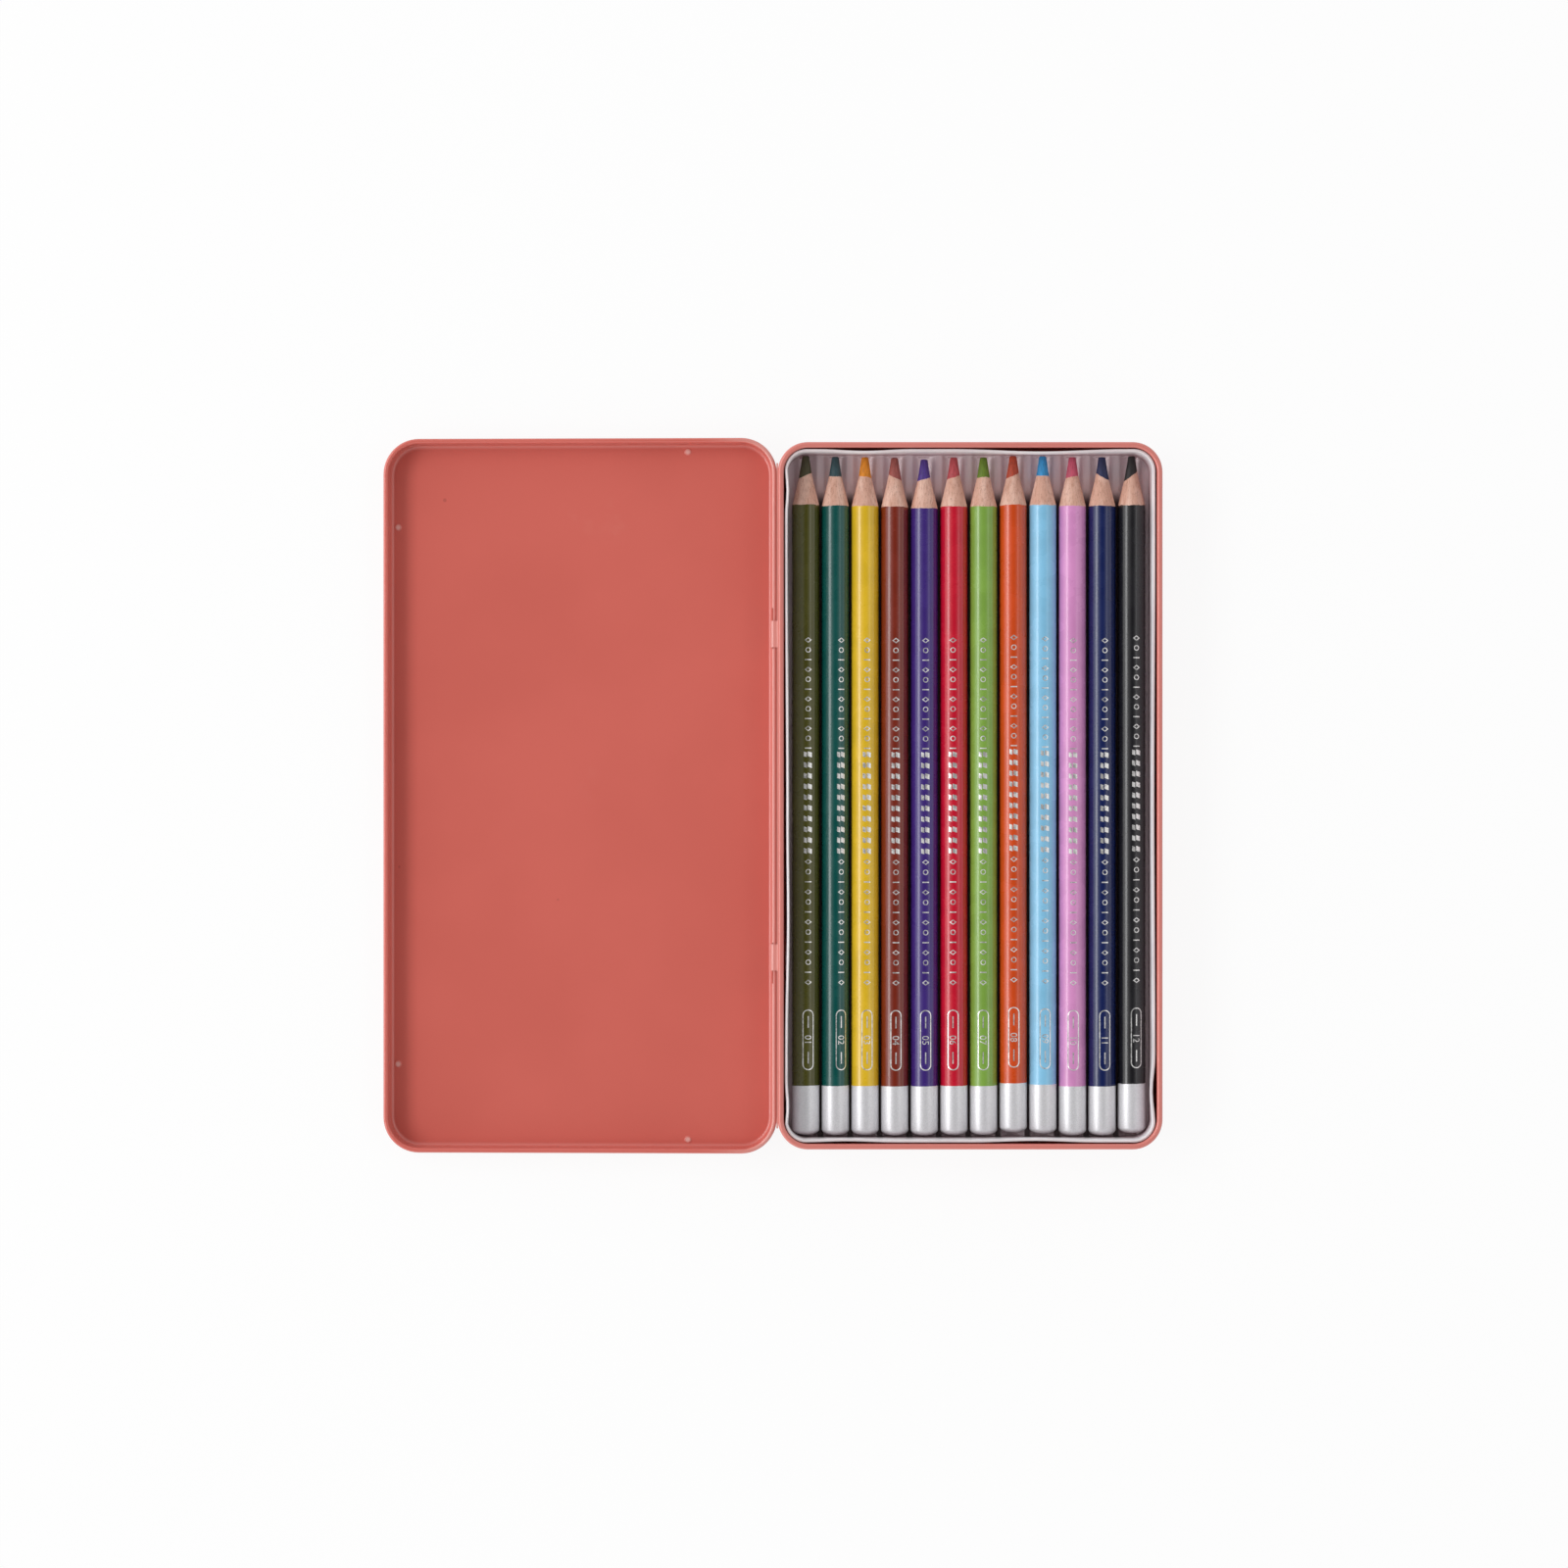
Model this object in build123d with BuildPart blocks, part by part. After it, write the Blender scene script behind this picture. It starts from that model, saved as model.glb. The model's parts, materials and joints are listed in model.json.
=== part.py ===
from build123d import *
import math
import os

# A flat hinged tin of pencils, lying open. The origin is the middle of the base's
# underside, the pencils point along +Y, the opened lid lies on the -X side.

# Pencils
pencil_diameter = 7.1
pencil_length = 174.8
core_diameter = 3.3
point_diameter = 1.76
core_shown = 4.7
wood_shown = 7.55
end_skin = 0.3
crown_rise = 1.2
crown_width = 1.25
pencil_gap = 0.54
pencil_play = 0.15
end_room = 0.8
end_rest = 0.7

# Colour name, how far it has slid towards the tips, length over or under, point off centre
pencils = [
    ("olive", 0.05, 0.3, 0.05),
    ("teal", 0.0, 0.1, -0.04),
    ("yellow", 0.0, 0.0, 0.03),
    ("brown", -0.1, -0.1, -0.06),
    ("purple", -0.1, -0.5, 0.05),
    ("red", 0.0, -0.1, 0.04),
    ("green", 0.0, -0.1, -0.03),
    ("orange", 0.7, -0.4, 0.06),
    ("light_blue", 0.35, -0.1, -0.05),
    ("pink", -0.1, 0.1, 0.03),
    ("navy", -0.1, 0.1, -0.06),
    ("black", 0.55, -0.3, 0.05),
]

# Tray, formed from one thin plastic sheet
tray_sheet = 0.4
groove_slope = 45
ridge_width = 1.5
side_room = 0.96
side_draft = 0.2
end_draft = 0.1
tray_corner = 5.5
tray_gap = 0.3
tray_rest = 0.1
tray_below_rim = 1.0

# Tin, drawn from lacquered steel sheet, with rolled edges
sheet = 0.28
base_roll = 1.5
lid_roll = 1.25
roll_bevel = 0.4
corner_radius = 7.7
floor_bevel = 1.0
panel_bevel = 1.3
head_room = 5.47
front_gap = 0.2
rear_gap = 0.3
lid_seat_gap = 0.2

# Hinge: tongues of the base's rear wall curl round the lid's rolled edge
hinge_above_middle = 1.66
slot_spread = 86.0
slot_width = 10.4
slot_height = 2.6
tongue_width = 6.8
tongue_side_gap = 0.3
tongue_play = 0.15
tongue_root = 2.4
tongue_bend = 0.45
tongue_turn = 200
window_gap = 0.15

# Ribs pressed into the lid's skirt, which grip the base
rib_length = 4.0
rib_radius = 1.3
rib_depth = 1.0
front_rib_spread = 138.0
end_rib_from_hinge = 21.5

# Pencils and tray: sizes that follow
pitch = pencil_diameter + pencil_gap
groove_radius = pencil_diameter / 2 + pencil_play
row_width = len(pencils) * pitch
tray_foot = sheet + tray_rest
groove_floor = (groove_radius + tray_sheet / 2) * math.tan(math.radians(groove_slope / 2))
groove_reach = (pitch - ridge_width) / 2
groove_rise = (groove_reach - groove_floor) * math.tan(math.radians(groove_slope))
pencil_height = tray_foot + tray_sheet + pencil_play + pencil_diameter / 2
tray_width = row_width + 2 * (side_room + tray_sheet + side_draft)
tray_length = pencil_length + 2 * (end_room + tray_sheet + end_draft)
pencil_foot = -pencil_length / 2 - end_room + end_rest

# Tin: sizes that follow
base_width = tray_width + 2 * (tray_gap + base_roll)
base_length = tray_length + 2 * (tray_gap + base_roll)
base_height = pencil_height + pencil_diameter / 2 + head_room
tray_top = base_height - tray_below_rim
closed_height = base_height + lid_seat_gap + sheet
lid_width = base_width + front_gap + rear_gap + 2 * lid_roll
lid_length = base_length + 2 * front_gap + 2 * lid_roll
lid_corner = corner_radius + front_gap + lid_roll
lid_middle = (front_gap - rear_gap) / 2
lid_rear = lid_middle - lid_width / 2
lid_front = lid_middle + lid_width / 2

# Hinge: sizes that follow
hinge_x = lid_rear + lid_roll / 2
hinge_height = closed_height / 2 + hinge_above_middle
hinge_line = Axis((hinge_x, 0, hinge_height), (0, -1, 0))
tongue_radius = lid_roll / 2 + tongue_play + sheet / 2
tongue_y = slot_spread / 2 - slot_width / 2 + tongue_side_gap + tongue_width / 2
rear_wall = -base_width / 2 + sheet / 2

# The lid opens past half a turn, until its far edge lies on the table
far_arm = lid_front - panel_bevel - hinge_x
far_rise = closed_height - hinge_height
far_angle = math.atan2(far_rise, far_arm)
far_reach = math.hypot(far_arm, far_rise)
lid_slope = math.degrees(math.asin(hinge_height / far_reach) - far_angle)
lid_opening = 180 + lid_slope


def roll_edge(middle, width, length, radius, height, roll):
    """Lay a rolled edge, drawn closed, inside a rounded rectangle; below the sheet where negative."""
    left = middle - width / 2
    right = middle + width / 2
    back = length / 2
    with BuildLine(Plane.XY.offset(height)) as round_edge:
        FilletPolyline(
            (left, -back), (right, -back), (right, back), (left, back), radius=radius, close=True
        )
    path = round_edge.wires()[0]
    crest = roll / 2
    flank = crest - math.copysign(roll_bevel, roll)
    # In this plane X is up and Y points out of the tin
    with BuildSketch(Plane(origin=path @ 0, x_dir=(0, 0, 1), z_dir=path % 0)) as section:
        with BuildLine():
            Polyline(
                (0, 0),
                (flank, 0),
                (crest, -roll_bevel),
                (crest, roll_bevel - abs(roll)),
                (flank, -abs(roll)),
                (0, -abs(roll)),
                close=True,
            )
        make_face()
    sweep(section.sketch, path=path)


def make_base():
    """Pan with a rolled edge and two tongues cut from its rear wall and curled."""
    root = hinge_height + tongue_root
    drop = root - hinge_height - tongue_radius - tongue_bend
    across = rear_wall - tongue_bend - hinge_x
    cut_length = drop + across + math.radians(90) * tongue_bend
    cut_length += math.radians(tongue_turn) * tongue_radius
    wall_height = base_height - base_roll / 2
    with BuildPart() as base:
        with BuildSketch():
            RectangleRounded(base_width, base_length, corner_radius)
        extrude(amount=wall_height)
        chamfer(base.faces().sort_by(Axis.Z)[0].edges(), floor_bevel)
        offset(amount=-sheet, openings=base.faces().sort_by(Axis.Z)[-1])
        roll_edge(0, base_width, base_length, corner_radius, wall_height, base_roll)
        # Windows that the tongues leave in the rear wall
        with BuildSketch(Plane.YZ.offset(-base_width / 2 - sheet)):
            with Locations((-tongue_y, root - cut_length / 2), (tongue_y, root - cut_length / 2)):
                Rectangle(tongue_width + 2 * window_gap, cut_length)
        extrude(amount=3 * sheet, mode=Mode.SUBTRACT)
        # Tongues: down from the window's top, over the lid's rolled edge and round it
        for place in (-tongue_y, tongue_y):
            with BuildSketch(Plane.XZ.offset(-place)):
                with BuildLine():
                    stem = Line((rear_wall, root), (rear_wall, root - drop))
                    bend = JernArc(stem @ 1, stem % 1, tongue_bend, -90)
                    Line(bend @ 1, (hinge_x, hinge_height + tongue_radius))
                    CenterArc((hinge_x, hinge_height), tongue_radius, 90, tongue_turn)
                trace(line_width=sheet)
            extrude(amount=tongue_width / 2, both=True)
    return base.part


def press_ribs(length, radius, mode):
    """Round ribs half sunk in the skirt: two on the front wall, one on each end wall."""
    height = (hinge_height + closed_height - panel_bevel) / 2
    front = lid_front - sheet - rib_depth + rib_radius
    end = lid_length / 2 - sheet - rib_depth + rib_radius
    side = lid_rear + end_rib_from_hinge
    spots = [
        Plane(origin=(front, front_rib_spread / 2, height), x_dir=(1, 0, 0), z_dir=(0, 1, 0)),
        Plane(origin=(front, -front_rib_spread / 2, height), x_dir=(1, 0, 0), z_dir=(0, 1, 0)),
        Plane(origin=(side, end, height), x_dir=(0, 1, 0), z_dir=(1, 0, 0)),
        Plane(origin=(side, -end, height), x_dir=(0, -1, 0), z_dir=(1, 0, 0)),
    ]
    for spot in spots:
        with BuildSketch(spot) as section:
            Circle(radius)
        extrude(section.sketch, amount=length / 2, both=True, mode=mode)


def make_lid():
    """Drawn panel with a skirt, built where it lies on the closed tin and then opened."""
    with BuildPart() as lid:
        with BuildSketch(Plane.XY.offset(hinge_height)):
            with Locations((lid_middle, 0)):
                RectangleRounded(lid_width, lid_length, lid_corner)
        extrude(amount=closed_height - hinge_height)
        chamfer(lid.faces().sort_by(Axis.Z)[-1].edges(), panel_bevel)
        offset(amount=-sheet, openings=lid.faces().sort_by(Axis.Z)[0])
        # Ribs, trimmed to the skirt's outer face and hollow behind
        press_ribs(rib_length, rib_radius, Mode.ADD)
        with BuildSketch(Plane.XY.offset(hinge_height)):
            with Locations((lid_middle, 0)):
                RectangleRounded(lid_width, lid_length, lid_corner)
        extrude(amount=closed_height - hinge_height, mode=Mode.INTERSECT)
        press_ribs(rib_length - 2 * sheet, rib_radius - sheet, Mode.SUBTRACT)
        roll_edge(lid_middle, lid_width, lid_length, lid_corner, hinge_height, -lid_roll)
        # Slots above the rolled edge, which let the tongues through
        with BuildSketch(Plane.YZ.offset(lid_rear - sheet)):
            middle = hinge_height + slot_height / 2
            with Locations((-slot_spread / 2, middle), (slot_spread / 2, middle)):
                Rectangle(slot_width, slot_height)
        extrude(amount=3 * sheet, mode=Mode.SUBTRACT)
    return lid.part.rotate(hinge_line, lid_opening)


def make_deck():
    """The tray's floor: a groove for each pencil, and a low flat ridge on both its sides."""
    low = tray_foot + tray_sheet / 2
    high = low + groove_rise
    edge = tray_sheet - side_draft / 2
    outline = [(-tray_width / 2, high)]
    for place in range(len(pencils)):
        groove = (place + 0.5) * pitch - row_width / 2
        outline += [(groove - groove_reach, high), (groove - groove_floor, low)]
        outline += [(groove + groove_floor, low), (groove + groove_reach, high)]
    outline += [(tray_width / 2, high)]
    with BuildPart() as deck:
        with BuildSketch(Plane.XZ):
            with BuildLine():
                Polyline(*outline)
            trace(line_width=tray_sheet)
        extrude(amount=tray_length / 2, both=True)
        # Its rim ends inside the wall
        with BuildSketch(Plane.XY.offset(tray_foot)):
            RectangleRounded(tray_width - 2 * edge, tray_length - 2 * edge, tray_corner - edge)
        extrude(amount=tray_top - tray_foot, mode=Mode.INTERSECT)
    return deck.part


def make_tray():
    """Sloping wall, thinner towards its foot, closed below by the grooved deck."""
    inner_width = tray_width - 2 * tray_sheet
    inner_length = tray_length - 2 * tray_sheet
    deck = make_deck()
    with BuildPart() as tray:
        with BuildSketch(Plane.XY.offset(tray_foot)):
            RectangleRounded(tray_width - 2 * side_draft, tray_length - 2 * end_draft, tray_corner)
        with BuildSketch(Plane.XY.offset(tray_top)):
            RectangleRounded(tray_width, tray_length, tray_corner)
        loft(ruled=True)
        with BuildSketch(Plane.XY.offset(tray_foot)):
            RectangleRounded(inner_width, inner_length, tray_corner - tray_sheet)
        extrude(amount=tray_top - tray_foot, mode=Mode.SUBTRACT)
        add(deck)
    return tray.part


def across(x, y):
    """Plane across a pencil, facing its point."""
    return Plane(origin=(x, y, pencil_height), x_dir=(1, 0, 0), z_dir=(0, 1, 0))


def make_casing(x, y, length):
    """Wood casing with a dipped blunt end, bored for the core and cut to a point."""
    radius = pencil_diameter / 2
    bore = core_diameter / 2
    wood_end = length - core_shown
    with BuildPart() as casing:
        with BuildSketch(Plane(origin=(x, y, pencil_height), x_dir=(1, 0, 0), z_dir=(0, 0, 1))):
            with BuildLine():
                Polyline(
                    (0, 0),
                    (radius - crown_width, 0),
                    (radius, crown_rise),
                    (radius, wood_end - wood_shown),
                    (bore, wood_end),
                    (bore, end_skin),
                    (0, end_skin),
                    close=True,
                )
            make_face()
        revolve(axis=Axis((x, y, pencil_height), (0, 1, 0)))
    return casing.part


def make_core(x, y, length, off):
    """Round core, with a point that sharpening left a little off centre."""
    wood_end = length - core_shown
    with BuildPart() as core:
        with BuildSketch(across(x, y + end_skin)):
            Circle(core_diameter / 2)
        extrude(amount=wood_end - end_skin)
        with BuildSketch(across(x, y + wood_end)):
            Circle(core_diameter / 2)
        with BuildSketch(across(x + off, y + length)):
            Circle(point_diameter / 2)
        loft(ruled=True)
    return core.part


def save(part, name):
    """Write one piece under its own name."""
    part.label = name
    export_step(part, "parts/" + name + ".step")


os.makedirs("parts", exist_ok=True)
save(make_base(), "base")
save(make_lid(), "lid")
save(make_tray(), "tray")
for number, (colour, slid, longer, off) in enumerate(pencils):
    pencil_x = (number - (len(pencils) - 1) / 2) * pitch
    pencil_y = pencil_foot + slid
    save(make_casing(pencil_x, pencil_y, pencil_length + longer), colour + "_casing")
    save(make_core(pencil_x, pencil_y, pencil_length + longer, off), colour + "_core")

print("base", round(base_width, 2), "by", round(base_length, 2), "by", round(base_height, 2))
print("lid", round(lid_width, 2), "by", round(lid_length, 2), "closed", round(closed_height, 2))
print("hinge at", round(hinge_x, 3), round(hinge_height, 3), "opens", round(lid_opening, 3))
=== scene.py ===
# %% [markdown]
# # A tin of pencils, lying open
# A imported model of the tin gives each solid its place, in metres, and its joints.
# This lesson makes the finished look round it: drawn and rolled sheet steel, a thin
# formed tray and twelve lacquered pencils. Each new piece rides on a body of the model,
# so the lid still swings, the tray still lifts and each pencil still comes out.

# %% Load the frame
import json
import math

import bmesh
import bpy
from mathutils import Matrix, Vector, noise


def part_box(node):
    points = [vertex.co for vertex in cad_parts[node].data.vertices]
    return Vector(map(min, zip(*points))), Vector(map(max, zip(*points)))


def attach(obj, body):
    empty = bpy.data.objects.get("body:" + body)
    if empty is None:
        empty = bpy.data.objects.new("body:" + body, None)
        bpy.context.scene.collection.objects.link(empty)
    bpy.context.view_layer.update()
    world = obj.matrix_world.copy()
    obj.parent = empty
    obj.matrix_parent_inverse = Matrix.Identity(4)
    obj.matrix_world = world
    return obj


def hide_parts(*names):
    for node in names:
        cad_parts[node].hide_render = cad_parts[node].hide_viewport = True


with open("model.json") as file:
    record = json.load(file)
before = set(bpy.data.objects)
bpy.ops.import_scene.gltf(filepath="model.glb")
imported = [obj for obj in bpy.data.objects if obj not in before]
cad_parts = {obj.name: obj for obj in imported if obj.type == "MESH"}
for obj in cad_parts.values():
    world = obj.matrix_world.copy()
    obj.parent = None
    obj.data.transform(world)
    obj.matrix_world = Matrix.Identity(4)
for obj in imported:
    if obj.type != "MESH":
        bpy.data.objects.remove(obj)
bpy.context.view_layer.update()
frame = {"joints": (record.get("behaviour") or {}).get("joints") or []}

# %% [markdown]
# ## The camera
# The photograph looks straight down from about a metre. A long lens at that height gives
# the small lean of the walls that the picture shows. The object sits a little off the
# middle of the frame, which a lens shift of ten pixels says better than a turned camera.

# %% Camera
PHOTO_SIDE = 1600
FOCAL_PIXELS = 3938.0
SENSOR_WIDTH = 36.0
SHIFT_PIXELS = 10
camera_data = bpy.data.cameras.new("camera")
camera_data.sensor_width = SENSOR_WIDTH
camera_data.lens = FOCAL_PIXELS * SENSOR_WIDTH / PHOTO_SIDE
camera_data.shift_x = SHIFT_PIXELS / PHOTO_SIDE
camera_data.shift_y = SHIFT_PIXELS / PHOTO_SIDE
camera = bpy.data.objects.new("camera", camera_data)
camera.location = (-0.05015, 0.0005, 1.0)
bpy.context.scene.collection.objects.link(camera)
bpy.context.scene.camera = camera
bpy.context.scene.view_settings.view_transform = "Standard"
print("lens", round(camera_data.lens, 2), "mm")

# %% [markdown]
# ## Helpers for node trees
# Sky, floor and finishes all need the same few steps: a colour read off a screen, a sum,
# a value carried to another range, a mix of two colours, and the place that is shaded.

# %% Helpers for node trees
def linear(red, green, blue):
    """A colour read off a screen, as the shaders want it."""
    values = [v / 255 for v in (red, green, blue)]
    return tuple(v / 12.92 if v <= 0.04045 else ((v + 0.055) / 1.055) ** 2.4 for v in values)


def add_step(tree, operation, first, second=0.0):
    """One sum on a tree's numbers. Either may be a link or a plain number."""
    node = tree.nodes.new("ShaderNodeMath")
    node.operation = operation
    for socket, value in zip(node.inputs, (first, second)):
        if isinstance(value, (int, float)):
            socket.default_value = value
        else:
            tree.links.new(value, socket)
    return node.outputs["Value"]


def add_range(tree, value, low, high, new_low=0.0, new_high=1.0, steps="SMOOTHSTEP"):
    """Carry a value from one range to another, held at its ends."""
    node = tree.nodes.new("ShaderNodeMapRange")
    node.interpolation_type = steps
    tree.links.new(value, node.inputs["Value"])
    for socket, number in (("From Min", low), ("From Max", high)):
        node.inputs[socket].default_value = number
    node.inputs["To Min"].default_value = new_low
    node.inputs["To Max"].default_value = new_high
    return node.outputs["Result"]


def mix_colours(tree, mask, first, second):
    """Go from one colour to another by a mask. Either may be a link or a plain colour."""
    node = tree.nodes.new("ShaderNodeMix")
    node.data_type = "RGBA"
    tree.links.new(mask, node.inputs["Factor"])
    for socket, colour in ((node.inputs[6], first), (node.inputs[7], second)):
        if isinstance(colour, tuple):
            socket.default_value = (*colour, 1)
        else:
            tree.links.new(colour, socket)
    return node.outputs[2]


def coordinates(tree, kind="Object"):
    """The spot that is shaded, as a vector."""
    return tree.nodes.new("ShaderNodeTexCoord").outputs[kind]


def read_place(tree, kind="Object"):
    """The X, Y and Z of the spot that is shaded."""
    parts = tree.nodes.new("ShaderNodeSeparateXYZ")
    tree.links.new(coordinates(tree, kind), parts.inputs["Vector"])
    return parts.outputs


print("node helpers ready")

# %% [markdown]
# ## Light
# The tin lies under a sky that is bright near the ground and dim overhead: rolled rims
# then catch the light and flat panels keep their colour. The camera hangs right overhead,
# and its shade shows as the dark middle of each barrel. One long soft lamp on the left
# draws the narrow stripe down each barrel, and a weak one on the right the fainter second
# stripe. Together they light a flat surface to about its written colour.

# %% Sky and lamps
HORIZON, OVERHEAD, WINDOW_SIDE, CAMERA_SHADE = 1.0, 0.38, 1.5, 0.1


def sky_strength(tree):
    """Strength of the sky: dimmer overhead, more on the left, least behind the camera."""
    place = read_place(tree, "Generated")
    height = add_range(tree, place["Z"], 0.15, 0.85, HORIZON, OVERHEAD, "LINEAR")
    side = add_range(tree, place["X"], -0.9, 0.3, WINDOW_SIDE, 1.0, "LINEAR")
    camera_shade = add_range(tree, place["Z"], 0.91, 0.975, 1.0, CAMERA_SHADE, "LINEAR")
    return add_step(tree, "MULTIPLY", add_step(tree, "MULTIPLY", height, side), camera_shade)


def add_lamp(name, place, size, power):
    """A soft lamp that faces the middle of the tin."""
    data = bpy.data.lights.new(name, "AREA")
    data.shape = "RECTANGLE"
    data.size, data.size_y = size
    data.energy = power
    lamp = bpy.data.objects.new(name, data)
    lamp.location = place
    aim = Vector((-0.05, 0, 0)) - Vector(place)
    turn = aim.to_track_quat("-Z", "Y")
    lamp.rotation_euler = turn.to_euler()
    bpy.context.scene.collection.objects.link(lamp)


world = bpy.data.worlds.new("sky")
world.use_nodes = True
sky = world.node_tree.nodes["Background"]
sky.inputs["Color"].default_value = (1, 1, 1, 1)
world.node_tree.links.new(sky_strength(world.node_tree), sky.inputs["Strength"])
bpy.context.scene.world = world
add_lamp("lamp_left", (-1.08, 0.1, 0.92), (1.5, 0.42), 8.8)
add_lamp("lamp_right", (0.78, 0.1, 0.98), (1.4, 0.25), 1.3)

# %% [markdown]
# ## The floor
# The floor is pale paper that keeps the tin's shadow. To the camera, and in reflections,
# it glows almost white, as a studio floor does. Between the two halves of the tin a
# hair of floor stays open, where the photograph shows coral. So the glow takes that
# colour in a strip no wider than the gap.

# %% Floor
FLOOR_GLOW = 0.9
SEAM_MIDDLE, SEAM_HALF, SEAM_REACH = -0.04935, 0.00022, 0.0862
floor_mesh = bpy.data.meshes.new("floor")
bm = bmesh.new()
bmesh.ops.create_grid(bm, x_segments=1, y_segments=1, size=4.0)
bm.to_mesh(floor_mesh)
bm.free()
floor = bpy.data.objects.new("floor", floor_mesh)
bpy.context.scene.collection.objects.link(floor)
floor_paper = bpy.data.materials.new("floor_paper")
floor_paper.use_nodes = True
tree = floor_paper.node_tree
floor_shader = tree.nodes["Principled BSDF"]
floor_shader.inputs["Base Color"].default_value = (0.93, 0.93, 0.93, 1)
floor_shader.inputs["Roughness"].default_value = 0.9
floor_shader.inputs["Specular IOR Level"].default_value = 0.1
ray = tree.nodes.new("ShaderNodeLightPath").outputs
seen = add_step(tree, "MAXIMUM", ray["Is Camera Ray"], ray["Is Glossy Ray"])
seen = add_step(tree, "MAXIMUM", seen, ray["Is Transmission Ray"])
spot = read_place(tree)
off_seam = add_step(tree, "ABSOLUTE", add_step(tree, "SUBTRACT", spot["X"], SEAM_MIDDLE))
beside = add_step(tree, "GREATER_THAN", off_seam, SEAM_HALF)
along = add_step(tree, "ABSOLUTE", spot["Y"])
beyond = add_step(tree, "GREATER_THAN", along, SEAM_REACH)
open_floor = add_step(tree, "MAXIMUM", beside, beyond)
glow = tree.nodes.new("ShaderNodeEmission")
glow.inputs["Strength"].default_value = 1.0
tint = mix_colours(tree, open_floor, linear(214, 140, 130), (1, 1, 1))
tree.links.new(tint, glow.inputs["Color"])
blend = tree.nodes.new("ShaderNodeMixShader")
tree.links.new(add_step(tree, "MULTIPLY", seen, FLOOR_GLOW), blend.inputs[0])
tree.links.new(floor_shader.outputs["BSDF"], blend.inputs[1])
tree.links.new(glow.outputs["Emission"], blend.inputs[2])
tree.links.new(blend.outputs["Shader"], tree.nodes["Material Output"].inputs["Surface"])
floor_mesh.materials.append(floor_paper)
print("floor glow", FLOOR_GLOW)

# %% [markdown]
# ## Shared effects
# Lacquer is never quite even: it has a faint orange peel and clouds of tone. One node
# group makes that unevenness from the object's own coordinates, and the tin, the tray,
# the barrels and the foil each use it with their own scale. It gives out a cloud and a
# height only; the shader and its gloss stay in each material.

# %% Unevenness group
def new_group(name, inputs, outputs):
    """A shader group with the given sockets."""
    group = bpy.data.node_groups.new(name, "ShaderNodeTree")
    for socket, value in inputs:
        made = group.interface.new_socket(socket, in_out="INPUT", socket_type="NodeSocketFloat")
        made.default_value = value
    for socket in outputs:
        group.interface.new_socket(socket, in_out="OUTPUT", socket_type="NodeSocketFloat")
    start = group.nodes.new("NodeGroupInput")
    end = group.nodes.new("NodeGroupOutput")
    return group, start, end


def add_noise(tree, vector, scale, detail, roughness=0.5):
    """A noise texture on a vector, with a fixed or a linked scale."""
    texture = tree.nodes.new("ShaderNodeTexNoise")
    texture.inputs["Detail"].default_value = detail
    texture.inputs["Roughness"].default_value = roughness
    tree.links.new(vector, texture.inputs["Vector"])
    if isinstance(scale, (int, float)):
        texture.inputs["Scale"].default_value = scale
    else:
        tree.links.new(scale, texture.inputs["Scale"])
    return texture.outputs["Fac"]


uneven, start, end = new_group(
    "unevenness", [("Cloud scale", 40.0), ("Peel scale", 900.0)], ["Cloud", "Peel"]
)
where = coordinates(uneven)
cloud = add_noise(uneven, where, start.outputs["Cloud scale"], 4.0)
uneven.links.new(add_range(uneven, cloud, 0.3, 0.7), end.inputs["Cloud"])
peel = add_noise(uneven, where, start.outputs["Peel scale"], 2.0)
uneven.links.new(peel, end.inputs["Peel"])
print("group", uneven.name)

# %% [markdown]
# Handling leaves marks too: small pale smears and single specks of dust. They are rare,
# so a second group keeps only the tops of a noise, and the middles of a few cells. Both
# are masks, and the tin's finish says how far they show.

# %% Handling marks group
marks, start, end = new_group(
    "handling_marks", [("Smear scale", 30.0), ("Speck scale", 260.0)], ["Smears", "Specks"]
)
where = coordinates(marks)
smear = add_noise(marks, where, start.outputs["Smear scale"], 6.0, 0.62)
marks.links.new(add_range(marks, smear, 0.62, 0.78), end.inputs["Smears"])
cells = marks.nodes.new("ShaderNodeTexVoronoi")
marks.links.new(where, cells.inputs["Vector"])
marks.links.new(start.outputs["Speck scale"], cells.inputs["Scale"])
near = add_range(marks, cells.outputs["Distance"], 0.05, 0.12, 1.0, 0.0)
chosen = marks.nodes.new("ShaderNodeSeparateColor")
marks.links.new(cells.outputs["Color"], chosen.inputs["Color"])
rare = add_range(marks, chosen.outputs["Red"], 0.955, 0.96)
marks.links.new(add_step(marks, "MULTIPLY", near, rare), end.inputs["Specks"])
print("group", marks.name)

# %% [markdown]
# ## Finishes
# Each finish is a Principled shader. What is the same all over is set on the shader, and
# only what changes over the surface comes in from nodes.

# %% Helpers for finishes
def new_finish(name, roughness, **fixed):
    """A material with its shader, and the constants of that finish."""
    material = bpy.data.materials.new(name)
    material.use_nodes = True
    tree = material.node_tree
    shader = tree.nodes["Principled BSDF"]
    shader.inputs["Roughness"].default_value = roughness
    for socket, value in fixed.items():
        shader.inputs[socket.replace("_", " ")].default_value = value
    return material, tree, shader


def add_group(tree, group, **values):
    """Place a shared group, with this finish's own values."""
    node = tree.nodes.new("ShaderNodeGroup")
    node.node_tree = group
    for socket, value in values.items():
        node.inputs[socket.replace("_", " ")].default_value = value
    return node.outputs


def add_bump(tree, shader, height, depth, strength=1.0):
    """Let a height turn the surface, by a depth in metres."""
    bump = tree.nodes.new("ShaderNodeBump")
    bump.inputs["Distance"].default_value = depth
    bump.inputs["Strength"].default_value = strength
    tree.links.new(height, bump.inputs["Height"])
    tree.links.new(bump.outputs["Normal"], shader.inputs["Normal"])


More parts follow.
